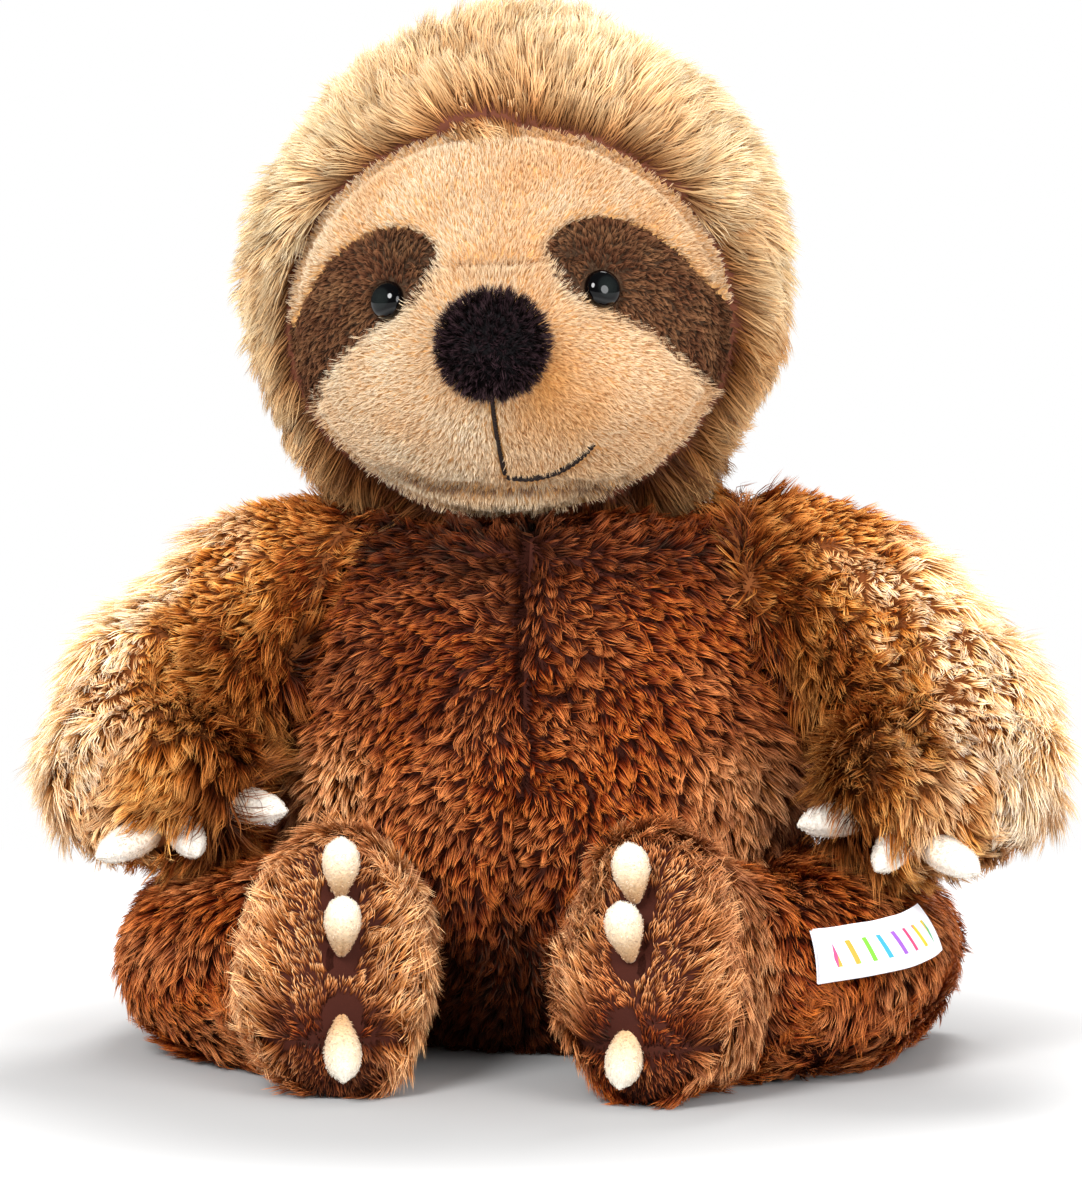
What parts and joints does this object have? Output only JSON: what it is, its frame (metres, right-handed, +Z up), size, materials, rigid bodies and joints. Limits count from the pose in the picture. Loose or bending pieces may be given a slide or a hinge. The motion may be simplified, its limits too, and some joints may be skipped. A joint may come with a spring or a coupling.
{
  "type": "plush sloth",
  "caption": "Sitting plush sloth with long brown pile, a short pile face with dark eye patches, stuffed claws, a turning head, swinging arms and legs that spread.",
  "frame": {"origin": "middle of the flat seat under the torso, on the surface the toy sits on", "axes": "+X to the toy's left, +Y to its back (it faces -Y), +Z up"},
  "size_m": [0.1353, 0.098, 0.1384],
  "materials": {
    "body_pile": "matte",
    "limb_pile": "matte",
    "hood_pile": "matte",
    "face_plush": "matte",
    "patch_plush": "matte",
    "nose_plush": "matte",
    "claw_fabric": "matte",
    "eye_plastic": "gloss",
    "washer_plastic": "matte",
    "thread": "matte",
    "stuffing": "matte",
    "pellets": "matte",
    "label_satin": "satin"
  },
  "bodies": {
    "torso": {"torso_front_left_panel": "body_pile", "torso_front_right_panel": "body_pile", "torso_back_panel": "body_pile", "torso_stuffing": "stuffing", "bean_bag": "pellets"},
    "head": {"hood_left_panel": "hood_pile", "eye_patch_left": "patch_plush", "eye_left": "eye_plastic", "eye_washer_left": "washer_plastic", "hood_right_panel": "hood_pile", "eye_patch_right": "patch_plush", "eye_right": "eye_plastic", "eye_washer_right": "washer_plastic", "forehead_panel": "face_plush", "muzzle_panel": "face_plush", "nose": "nose_plush", "mouth_stitch_centre": "thread", "mouth_stitch_smile": "thread", "head_stuffing": "stuffing"},
    "arm_left": {"arm_left_upper_panel": "limb_pile", "arm_left_palm_panel": "limb_pile", "arm_left_stuffing": "stuffing", "arm_left_claw_1": "claw_fabric", "arm_left_claw_2": "claw_fabric", "arm_left_claw_3": "claw_fabric"},
    "arm_right": {"arm_right_upper_panel": "limb_pile", "arm_right_palm_panel": "limb_pile", "arm_right_stuffing": "stuffing", "arm_right_claw_1": "claw_fabric", "arm_right_claw_2": "claw_fabric", "arm_right_claw_3": "claw_fabric"},
    "leg_left": {"leg_left_thigh_panel": "limb_pile", "leg_left_foot_outer_panel": "limb_pile", "leg_left_foot_inner_panel": "limb_pile", "leg_left_stuffing": "stuffing", "leg_left_claw_1": "claw_fabric", "leg_left_claw_2": "claw_fabric", "leg_left_claw_3": "claw_fabric", "side_label": "label_satin"},
    "leg_right": {"leg_right_thigh_panel": "limb_pile", "leg_right_foot_outer_panel": "limb_pile", "leg_right_foot_inner_panel": "limb_pile", "leg_right_stuffing": "stuffing", "leg_right_claw_1": "claw_fabric", "leg_right_claw_2": "claw_fabric", "leg_right_claw_3": "claw_fabric"}
  },
  "joints": [
    {"name": "neck_turn", "type": "hinge", "parent": "torso", "child": "head", "pos_m": [0, 0, 0.0715], "axis": [0, 0, 1], "range_deg": [-25, 25]},
    {"name": "shoulder_left", "type": "hinge", "parent": "torso", "child": "arm_left", "pos_m": [0.0306, -0.001, 0.055], "axis": [-0.9428, 0, -0.3335], "range_deg": [0, 68]},
    {"name": "shoulder_right", "type": "hinge", "parent": "torso", "child": "arm_right", "pos_m": [-0.0306, -0.001, 0.055], "axis": [-0.9428, 0, 0.3335], "range_deg": [0, 68]},
    {"name": "hip_left", "type": "hinge", "parent": "torso", "child": "leg_left", "pos_m": [0.035, 0.012, 0.013], "axis": [0, 0, 1], "range_deg": [0, 20]},
    {"name": "hip_right", "type": "hinge", "parent": "torso", "child": "leg_right", "pos_m": [-0.035, 0.012, 0.013], "axis": [0, 0, -1], "range_deg": [0, 20]}
  ]
}
